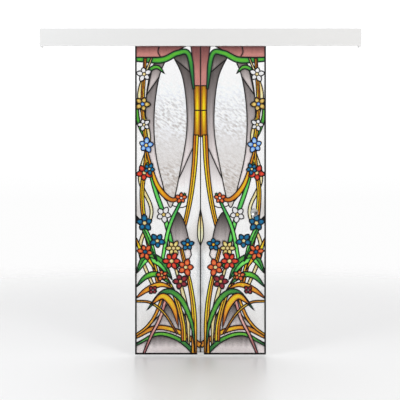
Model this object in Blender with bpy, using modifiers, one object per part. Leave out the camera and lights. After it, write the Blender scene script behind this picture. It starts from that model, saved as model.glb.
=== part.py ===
"""Stained glass sliding door: a leaded glass sheet that hangs on grooved wheels from a covered wall rail."""

import math

import bmesh
import bpy
import numpy as np
from mathutils import Matrix, Vector
from mathutils.geometry import delaunay_2d_cdt

# Sizes are in metres. X runs along the wall, the front faces -Y and the wall is the plane y = 0.
# Depths are counted from the wall towards the front, heights from the floor.
FIT = 0.0003

# Glass sheet
PANE_WIDTH = 0.880
PANE_HEIGHT = 2.100
PANE_THICK = 0.008
PANE_ARRIS = 0.0008
FLOOR_GAP = 0.010

# Leadwork on both faces of the sheet
LEAD_THICK = 0.0014
LEAD_WIDTH = 0.0062
BORDER_WIDTH = 0.0095
LEAD_EDGE = 0.001
SMALLEST_PANE = 0.0003
SAG = 0.0034
STRAIGHT = 0.0011
CURVE_STEPS = 24
SHARPEST_MITRE = 0.004
BLADE_POINTS = 8
PETALS = 5
PETAL_WAIST = 0.58
SEAT_SIDES = 20

# Round pull
PULL_RADIUS = 0.0265
PULL_BODY_RADIUS = 0.0215
PULL_DISH_RADIUS = 0.0190
PULL_RIM = 0.0020
PULL_FLOOR = 0.0010
PULL_DISH_ROUND = 0.0025
PULL_DISH_DRAFT = 0.0005
PULL_RIM_ROUND = 0.0010
PULL_CLEARANCE = 0.0014
PULL_FROM_EDGE = 0.0790
PULL_HEIGHT = 0.965
PULL_SIDES = 28

# Wheels and axles
WHEEL_GROOVE_RADIUS = 0.012
GROOVE_DEPTH = 0.003
WHEEL_WIDTH = 0.010
GROOVE_WIDTH = 0.0064
WHEEL_SPACING = 0.060
WHEEL_SIDES = 16
PIN_SIDES = 8
AXLE_RADIUS = 0.004
AXLE_HEAD_RADIUS = 0.0070
AXLE_HEAD = 0.004
AXLE_SHOULDER = 0.003
AXLE_SHOULDER_RADIUS = 0.0062
AXLE_CLINCH = 0.0015

# Hangers and clamps
HANGER_FROM_EDGE = 0.110
HANGER_WIDTH = 0.100
HANGER_THICK = 0.004
HANGER_ABOVE_AXLE = 0.017
CLAMP_GRIP = 0.0175
CLAMP_THICK = 0.004
PAD_THICK = 0.0014
BOLT_RADIUS = 0.003
BOLT_HEAD_RADIUS = 0.005
BOLT_HEAD = 0.004
BOLT_SPACING = 0.064
BOLT_ABOVE_PANE = 0.009
CLAMP_ABOVE_BOLT = 0.007
CORNER = 0.004

# Rail
RAIL_WALL = 0.004
RAIL_ARM = 0.004
RAIL_TO_WHEEL = 0.007
BEAD_WIDTH = 0.0056
BEAD_RISE = 0.007
BEAD_ABOVE_PANE = 0.027
RAIL_LIP = 0.0022
SCREW_HOLE_RADIUS = 0.0026
SCREW_HOLES = 6
SCREW_SIDES = 8
BEAD_SIDES = 8
DRILL_PAST = 0.010

# Cover over the rail
COVER_LENGTH = 2.150
COVER_HEIGHT = 0.115
COVER_THICK = 0.0025
COVER_BELOW_PANE_TOP = 0.030
COVER_ROOM = 0.0097
COVER_FOOT = 0.0155
COVER_ARRIS = 0.0006
END_CAP_THICK = 0.010

# Travel, end stops and floor guide
TRAVEL = 0.400
STOP_LENGTH = 0.026
BUFFER_LENGTH = 0.011
BUFFER_HALF = 0.0045
STOP_WALL = 0.0045
GUIDE_WIDTH = 0.044
GUIDE_WALL = 0.005
GUIDE_OVERLAP = 0.016
GUIDE_CLEARANCE = 0.0016
GUIDE_BASE = 0.0085
GUIDE_POCKET_WIDTH = 0.016
GUIDE_POCKET_HEIGHT = 0.011
GUIDE_POCKET_DEPTH = 0.002

# Worked-out depths, from the wall to the front
WHEEL_DEPTH = RAIL_WALL + RAIL_TO_WHEEL + WHEEL_WIDTH / 2
HANGER_BACK = WHEEL_DEPTH + WHEEL_WIDTH / 2 + AXLE_SHOULDER
HANGER_FRONT = HANGER_BACK + HANGER_THICK
PANE_BACK = HANGER_FRONT + PAD_THICK + 2 * FIT
PANE_FRONT = PANE_BACK + PANE_THICK
PANE_MIDDLE = PANE_BACK + PANE_THICK / 2
CLAMP_BACK = PANE_FRONT + PAD_THICK + 2 * FIT
CLAMP_FRONT = CLAMP_BACK + CLAMP_THICK
COVER_BACK = CLAMP_FRONT + FIT + BOLT_HEAD + COVER_ROOM
COVER_FRONT = COVER_BACK + COVER_THICK

# Worked-out places across
PULL_X = PANE_WIDTH / 2 - PULL_FROM_EDGE
HANGER_X = PANE_WIDTH / 2 - HANGER_FROM_EDGE
STOP_FACE = HANGER_X + HANGER_WIDTH / 2 + TRAVEL
RAIL_LENGTH = COVER_LENGTH - 2 * END_CAP_THICK - 2 * FIT

# Worked-out heights
PANE_TOP = FLOOR_GAP + PANE_HEIGHT
BOLT_HEIGHT = PANE_TOP + BOLT_ABOVE_PANE
CLAMP_TOP = BOLT_HEIGHT + CLAMP_ABOVE_BOLT
CLAMP_BOTTOM = PANE_TOP - CLAMP_GRIP
LEAD_TOP = CLAMP_BOTTOM - LEAD_EDGE
BEAD_TOP = PANE_TOP + BEAD_ABOVE_PANE
ARM_TOP = BEAD_TOP - BEAD_RISE
RAIL_BOTTOM = ARM_TOP - RAIL_ARM
AXLE_HEIGHT = BEAD_TOP + FIT + WHEEL_GROOVE_RADIUS
HANGER_TOP = AXLE_HEIGHT + HANGER_ABOVE_AXLE
COVER_BOTTOM = PANE_TOP - COVER_BELOW_PANE_TOP
COVER_TOP = COVER_BOTTOM + COVER_HEIGHT
RAIL_TOP = COVER_TOP - COVER_THICK - FIT
ORIGIN_HEIGHT = (RAIL_BOTTOM + RAIL_TOP) / 2
GUIDE_TOP = FLOOR_GAP + GUIDE_OVERLAP
WHEEL_RADIUS = WHEEL_GROOVE_RADIUS + GROOVE_DEPTH

# The leaded field: half its width and its height, and where its middle foot lies
FIELD_INSET = LEAD_EDGE + BORDER_WIDTH - LEAD_WIDTH / 2
FIELD_HALF = PANE_WIDTH / 2 - FIELD_INSET
FIELD_FOOT = FLOOR_GAP + FIELD_INSET
FIELD_HEIGHT = LEAD_TOP - BORDER_WIDTH + LEAD_WIDTH / 2 - FIELD_FOOT


# Scene, materials and placing

for old in list(bpy.data.objects):
    bpy.data.objects.remove(old)

PARTS = bpy.data.collections.new("stained_glass_door")
CUTTERS = bpy.data.collections.new("cutters")
for group in (PARTS, CUTTERS):
    bpy.context.scene.collection.children.link(group)
CUTTERS.hide_render = True


def finish(name, colour, roughness, metallic=0.0):
    made = bpy.data.materials.new(name)
    made.use_nodes = True
    shader = made.node_tree.nodes["Principled BSDF"]
    shader.inputs["Base Color"].default_value = (*colour, 1)
    shader.inputs["Roughness"].default_value = roughness
    shader.inputs["Metallic"].default_value = metallic
    made.diffuse_color = (*colour, 1)
    return made


CLEAR_GLASS = finish("clear_glass", (0.80, 0.84, 0.83), 0.05)
CLEAR_GLASS.node_tree.nodes["Principled BSDF"].inputs["Transmission Weight"].default_value = 0.9
DARK_LEAD = finish("dark_lead", (0.035, 0.034, 0.034), 0.45, 0.6)
SATIN_ALUMINIUM = finish("satin_aluminium", (0.80, 0.80, 0.79), 0.35, 0.9)
BARE_STEEL = finish("bare_steel", (0.55, 0.55, 0.54), 0.35, 1.0)
GREY_NYLON = finish("grey_nylon", (0.30, 0.30, 0.31), 0.5)
BLACK_RUBBER = finish("black_rubber", (0.03, 0.03, 0.03), 0.8)
PALE_PLASTIC = finish("pale_plastic", (0.82, 0.82, 0.81), 0.4)

# A drawn outline stands upright against the wall, or across the rail, by one of these turns.
FACING_FRONT = Matrix(((1, 0, 0), (0, 0, -1), (0, 1, 0))).to_4x4()
ACROSS_RAIL = Matrix(((0, 0, -1), (-1, 0, 0), (0, 1, 0))).to_4x4()


def place(x, depth, height):
    return Vector((x, -depth, height - ORIGIN_HEIGHT))


def flat_piece(name, outlines, thick, turn, where, material):
    """A flat outline with its holes, drawn as a 2D curve, given its thickness and welded into a mesh."""
    drawn = bpy.data.curves.new(name, "CURVE")
    drawn.dimensions = "2D"
    drawn.fill_mode = "BOTH"
    drawn.extrude = thick / 2
    for outline in outlines:
        spline = drawn.splines.new("POLY")
        spline.points.add(len(outline) - 1)
        for point, (across, up) in zip(spline.points, outline):
            point.co = (across, up, 0, 1)
        spline.use_cyclic_u = True
    sketch = bpy.data.objects.new(name, drawn)
    PARTS.objects.link(sketch)
    graph = bpy.context.evaluated_depsgraph_get()
    mesh = bpy.data.meshes.new_from_object(sketch.evaluated_get(graph))
    bpy.data.objects.remove(sketch)
    bpy.data.curves.remove(drawn)
    merge = bmesh.new()
    merge.from_mesh(mesh)
    bmesh.ops.remove_doubles(merge, verts=merge.verts, dist=1e-6)
    bmesh.ops.recalc_face_normals(merge, faces=merge.faces)
    merge.to_mesh(mesh)
    merge.free()
    return new_object(name, mesh, turn, where, material)


def new_object(name, mesh, turn, where, material, group=PARTS):
    made = bpy.data.objects.new(name, mesh)
    made.matrix_world = Matrix.Translation(where) @ turn
    group.objects.link(made)
    if material:
        mesh.materials.clear()
        mesh.materials.append(material)
    return made


def turned(name, profile, sides, where, material, group=PARTS):
    """A profile of (radius, depth) pairs, spun round an axis that points out of the wall."""
    mesh = bpy.data.meshes.new(name)
    rim = [(radius, 0, along) for radius, along in profile]
    mesh.from_pydata(rim, [(i, (i + 1) % len(rim)) for i in range(len(rim))], [])
    made = new_object(name, mesh, FACING_FRONT, where, material, group)
    spin = made.modifiers.new("spin", "SCREW")
    spin.steps = sides
    spin.render_steps = sides
    spin.use_merge_vertices = True
    spin.merge_threshold = 1e-5
    spin.use_normal_calculate = True
    return made


def solid_mesh(made):
    """Replaces an object's live modifiers by the mesh they give, and turns its faces outwards."""
    graph = bpy.context.evaluated_depsgraph_get()
    mesh = bpy.data.meshes.new_from_object(made.evaluated_get(graph))
    work = bmesh.new()
    work.from_mesh(mesh)
    bmesh.ops.remove_doubles(work, verts=work.verts, dist=1e-6)
    bmesh.ops.recalc_face_normals(work, faces=work.faces)
    work.to_mesh(mesh)
    work.free()
    made.modifiers.clear()
    made.data = mesh
    mesh.shade_smooth()
    mesh.set_sharp_from_angle(angle=math.radians(35))


def box(name, size, where, material, group=PARTS):
    mesh = bpy.data.meshes.new(name)
    work = bmesh.new()
    bmesh.ops.create_cube(work, size=1)
    bmesh.ops.scale(work, vec=size, verts=work.verts)
    work.to_mesh(mesh)
    work.free()
    return new_object(name, mesh, Matrix(), where, material, group)


def cut(made, cutter):
    cutter.hide_render = True
    cutter.display_type = "WIRE"
    hole = made.modifiers.new("cut " + cutter.name, "BOOLEAN")
    hole.operation = "DIFFERENCE"
    hole.solver = "EXACT"
    hole.object = cutter


def drill(made, name, radius, x, height, depths, sides):
    """A round hole through a piece, along the line from the wall to the front."""
    back, front = depths
    profile = [(0, front), (radius, front), (radius, back), (0, back)]
    cutter = turned(name, profile, sides, place(x, 0, height), None, CUTTERS)
    solid_mesh(cutter)
    cut(made, cutter)


def circle(centre, radius, steps):
    angle = np.linspace(0, 2 * math.pi, steps, endpoint=False)
    return np.asarray(centre) + radius * np.column_stack([np.cos(angle), np.sin(angle)])


def rounded_plate(width, bottom, top, corner, steps=3):
    """Outline of an upright plate with round corners, middle at x = 0."""
    corners = []
    for turn, (side, end) in enumerate([(1, 1), (-1, 1), (-1, -1), (1, -1)]):
        centre = (side * (width / 2 - corner), (top if end > 0 else bottom) - end * corner)
        angle = np.linspace(0, math.pi / 2, steps + 1) + turn * math.pi / 2
        corners.append(np.asarray(centre) + corner * np.column_stack([np.cos(angle), np.sin(angle)]))
    return np.vstack(corners)


# Drawing the leaded design: points are hundredths of the field's half width and of its height


def share(points):
    return np.array(points, float) * (FIELD_HALF / 100, FIELD_HEIGHT / 100)


def thin(points, sag):
    """The fewest points of a line that stay within sag of it."""
    run = points[-1] - points[0]
    away = points - points[0]
    length = math.hypot(*run)
    if length > sag:
        off = abs(away[:, 0] * run[1] - away[:, 1] * run[0]) / length
    else:
        off = np.hypot(away[:, 0], away[:, 1])
    furthest = int(off.argmax())
    if off[furthest] <= sag:
        return points[[0, -1]]
    return np.vstack([thin(points[: furthest + 1], sag)[:-1], thin(points[furthest:], sag)])


def line(*points):
    """A smooth curve through the points: cubic stretches whose slopes agree where they meet."""
    knots = share(points)
    knots = np.vstack([2 * knots[0] - knots[1], knots, 2 * knots[-1] - knots[-2]])
    step = np.linspace(0, 1, CURVE_STEPS, endpoint=False)[:, None]
    smooth = []
    for before, start, end, after in zip(knots, knots[1:], knots[2:], knots[3:]):
        bend = 2 * before - 5 * start + 4 * end - after
        twist = after - before + 3 * (start - end)
        smooth.append(start + 0.5 * ((end - before) * step + bend * step**2 + twist * step**3))
    return thin(np.vstack([*smooth, knots[-2:-1]]), SAG)


def widened(path, widths):
    """The outline that keeps half the width to each side of a path. Widths are spread evenly along it."""
    run = np.concatenate([[0], np.cumsum(np.hypot(*np.diff(path, axis=0).T))])
    forward = np.gradient(path, axis=0)
    forward /= np.hypot(forward[:, 0], forward[:, 1])[:, None]
    across = np.column_stack([-forward[:, 1], forward[:, 0]])
    reach = np.interp(run / run[-1], np.linspace(0, 1, len(widths)), widths)[:, None] / 2
    return np.vstack([path - across * reach, (path + across * reach)[::-1]])


def blade(path, width):
    """A long leaf: its width rises and falls as a half sine along the path, and both ends are points."""
    run = np.concatenate([[0], np.cumsum(np.hypot(*np.diff(path, axis=0).T))])
    path = np.column_stack([np.interp(np.linspace(0, run[-1], BLADE_POINTS), run, axis) for axis in path.T])
    reach = width * np.sin(np.linspace(0, math.pi, len(path))) ** 0.8
    outline = widened(path, reach)
    return np.vstack([outline[: len(path)], outline[len(path) + 1 : -1]])


def along(path, part):
    """The point at a share of a path's length."""
    run = np.concatenate([[0], np.cumsum(np.hypot(*np.diff(path, axis=0).T))])
    return np.array([np.interp(part * run[-1], run, axis) for axis in path.T])


def blossom(centre, radius, turn):
    """Petals round a centre: the edge swells and falls back once for each petal, as a cosine does."""
    angle = np.linspace(0, 2 * math.pi, PETALS * 3, endpoint=False) + math.pi / PETALS
    swell = np.abs(np.cos(PETALS * angle / 2)) ** 0.6
    edge = radius * (PETAL_WAIST + (1 - PETAL_WAIST) * swell)
    angle += math.radians(turn)
    return centre + edge[:, None] * np.column_stack([np.cos(angle), np.sin(angle)])


# Cutting the field along the design and turning it into strips of lead


def signed_area(loop):
    after = np.roll(loop, -1, axis=0)
    return float((loop[:, 0] * after[:, 1] - loop[:, 1] * after[:, 0]).sum() / 2)


def loops_of(triangles, label):
    """Closed outlines of each group of joined triangles that share a label, with the group on their left."""
    side = {}
    for number, (a, b, c) in enumerate(triangles):
        side[a, b], side[b, c], side[c, a] = (number, c), (number, a), (number, b)

    def joined(start, end):
        across = side.get((end, start))
        return across is not None and label[across[0]] == label[side[start, end][0]]

    loops, seen = [], set()
    for first in side:
        edge, loop = first, []
        while edge not in seen and not joined(*edge):
            seen.add(edge)
            loop.append(edge[0])
            edge = (edge[1], side[edge][1])
            while joined(*edge):
                edge = (edge[0], side[edge[1], edge[0]][1])
        if loop:
            loops.append((label[side[first][0]], loop))
    return loops


def turns_round(loop, spots):
    """How often the loop runs round each spot, counter-clockwise."""
    turns = np.zeros(len(spots), int)
    for (x0, y0), (x1, y1) in zip(loop, np.roll(loop, -1, axis=0)):
        left_of = (x1 - x0) * (spots[:, 1] - y0) - (y1 - y0) * (spots[:, 0] - x0)
        turns += (y0 <= spots[:, 1]) & (y1 > spots[:, 1]) & (left_of > 0)
        turns -= (y1 <= spots[:, 1]) & (y0 > spots[:, 1]) & (left_of < 0)
    return turns


def inset(loop, margin):
    """Moves each side of a loop inwards and keeps the stretches that still run round something."""
    step = np.roll(loop, -1, axis=0) - loop
    step /= np.hypot(step[:, 0], step[:, 1])[:, None]
    inward = np.column_stack([-step[:, 1], step[:, 0]])
    moved = []
    for point, before, after, back, on in zip(
        loop, np.roll(inward, 1, axis=0), inward, np.roll(step, 1, axis=0), step
    ):
        lean = float(before @ after)
        outward_turn = back[0] * on[1] - back[1] * on[0] < 0
        if outward_turn and lean < 0:
            moved += [point + margin * (before + back), point + margin * (after - on)]
        else:
            moved.append(point + (before + after) * margin / max(1 + lean, SHARPEST_MITRE))
    moved = np.array(moved)
    ends = [(i, (i + 1) % len(moved)) for i in range(len(moved))]
    points, _, triangles, *_ = delaunay_2d_cdt([Vector(p) for p in moved], ends, [], 0, 1e-6)
    points = np.array([tuple(p) for p in points])
    kept = turns_round(moved, points[np.array(triangles)].mean(axis=1)) > 0
    return [points[found] for inside, found in loops_of(triangles, kept.tolist()) if inside]


def straightened(loop, sag):
    """Leaves out the points of a closed loop that lie within sag of the line through their neighbours."""
    loop = np.roll(loop, -int(np.hypot(*(loop - loop[0]).T).argmax()), axis=0)
    far = int(np.hypot(*(loop - loop[0]).T).argmax())
    there = thin(loop[: far + 1], sag)
    back = thin(np.vstack([loop[far:], loop[:1]]), sag)
    return np.vstack([there[:-1], back[:-1]])


def openings_of(shapes):
    """The glass that shows between the strips. A later shape covers the earlier ones, as cut pieces do."""
    points, faces = [], []
    for shape in shapes:
        shape = shape if signed_area(shape) > 0 else shape[::-1]
        faces.append(list(range(len(points), len(points) + len(shape))))
        points += [Vector(point) for point in shape]
    points, _, triangles, _, _, covers = delaunay_2d_cdt(points, [], faces, 1, 1e-6)
    points = np.array([tuple(point) for point in points])
    inside = [number for number, over in enumerate(covers) if min(over) < 2]
    top = [max(covers[number]) for number in inside]
    openings = []
    for _, loop in loops_of([triangles[number] for number in inside], top):
        for opening in inset(points[loop], LEAD_WIDTH / 2):
            if signed_area(opening) > SMALLEST_PANE:
                openings.append(straightened(opening, STRAIGHT))
    return openings


# The design, drawn once for the right half and mirrored


def main_shapes():
    """The large fields and the middle column, from the ground up. The first pair is the whole field."""
    shapes = []

    def pair(outline):
        shapes.extend([outline, outline * (-1, 1)])

    def across_middle(half):
        shapes.append(np.vstack([half, (half * (-1, 1))[::-1]]))

    pair(share([(0, 0), (100, 0), (100, 100), (0, 100)]))
    # Shaded field round each tall light, and the light itself
    around = [(8, 97), (40, 98.2), (70, 95), (84, 84), (84, 68)]
    around += [(74, 57), (50, 49), (22, 48), (12, 56), (9, 75)]
    light = [(47, 98.4), (64, 90), (72, 78), (70, 66), (60, 56), (46, 47.5), (31, 60), (21, 74), (27, 89)]
    for outline in (around, light):
        pair(line(*outline, outline[0]))
    # Head panel
    head_edge = line((22, 100), (44, 97.6), (72, 95.6), (100, 96.2))
    pair(np.vstack([head_edge, share([(100, 100)])]))
    # Column, in three heights, and the legs that it splits into
    across_middle(share([(15, 100), (12, 95), (10.5, 87)]))
    across_middle(share([(10.5, 87), (9.5, 79)]))
    across_middle(share([(9.5, 79), (10.5, 70.5)]))
    pair(widened(line((7, 71), (10, 60), (18, 48), (34, 34)), [0.034, 0.032, 0.028, 0.022]))
    # Arc across the foot
    pair(widened(line((0, 2.6), (34, 7), (68, 8.4), (100, 5.5)), [0.034, 0.030, 0.030, 0.026]))
    return shapes


def growing_shapes():
    """Stems, straps, leaves and blossoms, from the ones behind to the ones in front."""
    shapes = []

    def pair(outline):
        shapes.extend([outline, outline * (-1, 1)])

    # Head band, then the outer stem that winds up each side
    band = line((100, 95.6), (60, 95.4), (36, 97.6), (18, 97), (10.5, 86))
    pair(widened(band, [0.028, 0.040, 0.036, 0.030, 0.012]))
    stem = line((64, 22), (84, 39), (91, 52), (84, 65), (90, 80), (86, 96))
    pair(widened(stem, [0.030, 0.028, 0.026, 0.024, 0.018]))
    # Strap across the foot of each light, and the tendril over it
    strap = line((82, 62), (72, 54), (54, 43), (36, 28))
    pair(widened(strap, [0.014, 0.028, 0.028, 0.020]))
    tendril = line((84, 66), (68, 55), (46, 50), (27, 51.5))
    pair(widened(tendril, [0.012, 0.022, 0.034, 0.022]))
    # Stem that rises from the foot, and the leaves beside it
    foot_stem = line((10, 0), (10, 12), (16, 22), (30, 34))
    pair(widened(foot_stem, [0.036, 0.032, 0.028, 0.020]))
    pair(blade(line((8, 0), (14, 10), (32, 18), (56, 20), (84, 14)), 0.036))
    pair(blade(line((44, 24), (62, 29.5), (84, 31), (100, 26)), 0.060))
    pair(blade(line((68, 30), (82, 38), (92, 42), (101, 45)), 0.036))
    # Blossoms along the stem and the strap, and two over the foot
    for path, part, radius, turn in (
        (stem, 0.93, 0.052, 10),
        (stem, 0.80, 0.054, 40),
        (stem, 0.62, 0.052, 0),
        (stem, 0.50, 0.056, 25),
        (stem, 0.28, 0.060, 15),
        (strap, 0.50, 0.056, 45),
    ):
        pair(blossom(along(path, part), radius, turn))
    for where, radius, turn in (((45, 30), 0.062, 0), ((23, 28), 0.060, 35)):
        pair(blossom(share(where), radius, turn))
    return shapes


def leadwork(name, full, depth):
    """One net of lead strips: its outer edge, less the openings for the glass and, on the right, the pull."""
    shapes = main_shapes() + (growing_shapes() if full else [])
    seat = (PULL_RADIUS + PULL_CLEARANCE + LEAD_WIDTH / 2) / math.cos(math.pi / SEAT_SIDES)
    shapes.append(circle((PULL_X, PULL_HEIGHT - FIELD_FOOT), seat, SEAT_SIDES))
    edge = PANE_WIDTH / 2 - LEAD_EDGE
    foot = LEAD_EDGE + FLOOR_GAP - FIELD_FOOT
    outer = [(-edge, foot), (edge, foot), (edge, LEAD_TOP - FIELD_FOOT), (-edge, LEAD_TOP - FIELD_FOOT)]
    points, ends = [], []
    loops = [np.array(outer), *openings_of(shapes)]
    for loop in loops:
        first = len(points)
        ends += [(first + i, first + (i + 1) % len(loop)) for i in range(len(loop))]
        points += [Vector(point) for point in loop]
    points, _, triangles, *_ = delaunay_2d_cdt(points, ends, [], 0, 1e-6)
    middle = np.array([tuple(point) for point in points])[np.array(triangles)].mean(axis=1)
    lead = turns_round(loops[0], middle) > 0
    for loop in loops[1:]:
        lead &= turns_round(loop, middle) == 0
    strips = [triangle for triangle, kept in zip(triangles, lead) if kept]
    mesh = bpy.data.meshes.new(name)
    mesh.from_pydata([(*point, 0) for point in points], [], strips)
    made = new_object(name, mesh, FACING_FRONT, place(0, depth, FIELD_FOOT), DARK_LEAD)
    strip = made.modifiers.new("strip thickness", "SOLIDIFY")
    strip.thickness = LEAD_THICK
    strip.offset = 0
    return made


# Pieces of the sliding door

door = bpy.data.objects.new("door", None)
PARTS.objects.link(door)
moving = []

pane = box(
    "glass_pane",
    (PANE_WIDTH, PANE_THICK, PANE_HEIGHT),
    place(0, PANE_MIDDLE, FLOOR_GAP + PANE_HEIGHT / 2),
    CLEAR_GLASS,
)
arris = pane.modifiers.new("ground edges", "BEVEL")
arris.width = PANE_ARRIS
arris.segments = 1
through_pane = (PANE_BACK - DRILL_PAST, PANE_FRONT + DRILL_PAST)
drill(pane, "pull hole", PULL_BODY_RADIUS + 2 * FIT, PULL_X, PULL_HEIGHT, through_pane, PULL_SIDES)
moving.append(pane)

moving.append(leadwork("lead_front", True, PANE_FRONT + FIT + LEAD_THICK / 2))
moving.append(leadwork("lead_back", False, PANE_BACK - FIT - LEAD_THICK / 2))


def pull_half(name, side):
    """A dished disc whose body fills its half of the hole. side is 1 at the front and -1 at the back."""
    face = PANE_THICK / 2 + FIT
    profile = [
        (0, FIT / 2),
        (0, FIT / 2 + PULL_FLOOR),
        (PULL_DISH_RADIUS - PULL_DISH_ROUND, FIT / 2 + PULL_FLOOR),
        (PULL_DISH_RADIUS, FIT / 2 + PULL_FLOOR + PULL_DISH_ROUND),
        (PULL_DISH_RADIUS + PULL_DISH_DRAFT, face + PULL_RIM),
        (PULL_RADIUS - PULL_RIM_ROUND, face + PULL_RIM),
        (PULL_RADIUS, face + PULL_RIM - PULL_RIM_ROUND),
        (PULL_RADIUS, face),
        (PULL_BODY_RADIUS, face),
        (PULL_BODY_RADIUS, FIT / 2),
    ]
    if side < 0:
        profile = [(radius, -along_axis) for radius, along_axis in profile]
    made = turned(name, profile, PULL_SIDES, place(PULL_X, PANE_MIDDLE, PULL_HEIGHT), SATIN_ALUMINIUM)
    solid_mesh(made)
    return made


moving += [pull_half("pull_front", 1), pull_half("pull_back", -1)]

wheels = []


def wheel(name, x):
    """A grooved roller with a plain bore, spun round its own axle line."""
    half, groove = WHEEL_WIDTH / 2, GROOVE_WIDTH / 2
    bore = AXLE_RADIUS + FIT
    profile = [
        (bore, -half),
        (bore, half),
        (WHEEL_RADIUS, half),
        (WHEEL_RADIUS, groove),
        (WHEEL_GROOVE_RADIUS, groove / 2),
        (WHEEL_GROOVE_RADIUS, -groove / 2),
        (WHEEL_RADIUS, -groove),
        (WHEEL_RADIUS, -half),
    ]
    made = turned(name, profile, WHEEL_SIDES, place(x, WHEEL_DEPTH, AXLE_HEIGHT), GREY_NYLON)
    solid_mesh(made)
    return made


def axle(name, x):
    """A shouldered pin: head before the hanger, shoulder behind it and a clinched end past the wheel."""
    wheel_back = WHEEL_DEPTH - WHEEL_WIDTH / 2
    profile = [
        (0, wheel_back - FIT - AXLE_CLINCH),
        (0, HANGER_FRONT + FIT + AXLE_HEAD),
        (AXLE_HEAD_RADIUS, HANGER_FRONT + FIT + AXLE_HEAD),
        (AXLE_HEAD_RADIUS, HANGER_FRONT + FIT),
        (AXLE_RADIUS, HANGER_FRONT + FIT),
        (AXLE_RADIUS, HANGER_BACK - FIT),
        (AXLE_SHOULDER_RADIUS, HANGER_BACK - FIT),
        (AXLE_SHOULDER_RADIUS, HANGER_BACK - AXLE_SHOULDER + FIT),
        (AXLE_RADIUS, HANGER_BACK - AXLE_SHOULDER + FIT),
        (AXLE_RADIUS, wheel_back - FIT),
        (AXLE_SHOULDER_RADIUS, wheel_back - FIT),
        (AXLE_SHOULDER_RADIUS, wheel_back - FIT - AXLE_CLINCH),
    ]
    made = turned(name, profile, PIN_SIDES, place(x, 0, AXLE_HEIGHT), BARE_STEEL)
    solid_mesh(made)
    return made


def clamp_bolt(name, x):
    """A cap-headed bolt through the clamp plate's heel into the hanger."""
    profile = [
        (0, HANGER_BACK + 2 * FIT),
        (0, CLAMP_FRONT + FIT + BOLT_HEAD / 2),
        (BOLT_HEAD_RADIUS / 2, CLAMP_FRONT + FIT + BOLT_HEAD / 2),
        (BOLT_HEAD_RADIUS / 2, CLAMP_FRONT + FIT + BOLT_HEAD),
        (BOLT_HEAD_RADIUS, CLAMP_FRONT + FIT + BOLT_HEAD),
        (BOLT_HEAD_RADIUS, CLAMP_FRONT + FIT),
        (BOLT_RADIUS, CLAMP_FRONT + FIT),
        (BOLT_RADIUS, HANGER_BACK + 2 * FIT),
    ]
    made = turned(name, profile, PIN_SIDES, place(x, 0, BOLT_HEIGHT), BARE_STEEL)
    solid_mesh(made)
    return made


def carriage(side, x):
    """A hanger with its two wheels, and the clamp that grips the top edge of the glass."""
    plate = rounded_plate(HANGER_WIDTH, CLAMP_BOTTOM, HANGER_TOP, CORNER)
    where = place(x, (HANGER_BACK + HANGER_FRONT) / 2, 0)
    hanger = flat_piece(f"hanger_{side}", [plate], HANGER_THICK, FACING_FRONT, where, BARE_STEEL)
    heel_bottom = PANE_TOP + 2 * FIT
    step = [
        (HANGER_FRONT + FIT, heel_bottom),
        (CLAMP_BACK, heel_bottom),
        (CLAMP_BACK, CLAMP_BOTTOM),
        (CLAMP_FRONT - CLAMP_THICK / 4, CLAMP_BOTTOM),
        (CLAMP_FRONT, CLAMP_BOTTOM + CLAMP_THICK / 4),
        (CLAMP_FRONT, CLAMP_TOP),
        (HANGER_FRONT + FIT, CLAMP_TOP),
    ]
    clamp = flat_piece(f"clamp_plate_{side}", [step], HANGER_WIDTH, ACROSS_RAIL, place(x, 0, 0), BARE_STEEL)
    moving.extend([hanger, clamp])
    for face, depth in (("front", PANE_FRONT), ("back", HANGER_FRONT)):
        pad_size = (HANGER_WIDTH, PAD_THICK, CLAMP_GRIP)
        where = place(x, depth + FIT + PAD_THICK / 2, PANE_TOP - CLAMP_GRIP / 2)
        moving.append(box(f"clamp_pad_{side}_{face}", pad_size, where, BLACK_RUBBER))
    for end, sign in (("left", -1), ("right", 1)):
        bolt_x = x + sign * BOLT_SPACING / 2
        axle_x = x + sign * WHEEL_SPACING / 2
        through = (HANGER_BACK - DRILL_PAST, CLAMP_FRONT + DRILL_PAST)
        drill(hanger, f"bolt hole {side} {end}", BOLT_RADIUS + FIT, bolt_x, BOLT_HEIGHT, through, PIN_SIDES)
        drill(clamp, f"heel hole {side} {end}", BOLT_RADIUS + FIT, bolt_x, BOLT_HEIGHT, through, PIN_SIDES)
        drill(hanger, f"axle hole {side} {end}", AXLE_RADIUS + FIT, axle_x, AXLE_HEIGHT, through, PIN_SIDES)
        moving.append(clamp_bolt(f"clamp_bolt_{side}_{end}", bolt_x))
        moving.append(axle(f"axle_{side}_{end}", axle_x))
        wheels.append(wheel(f"wheel_{side}_{end}", axle_x))


for side, sign in (("left", -1), ("right", 1)):
    carriage(side, sign * HANGER_X)

for piece in (*moving, *wheels):
    placed = piece.matrix_world.copy()
    piece.parent = door
    piece.matrix_world = placed


# Pieces fixed to the building


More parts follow.
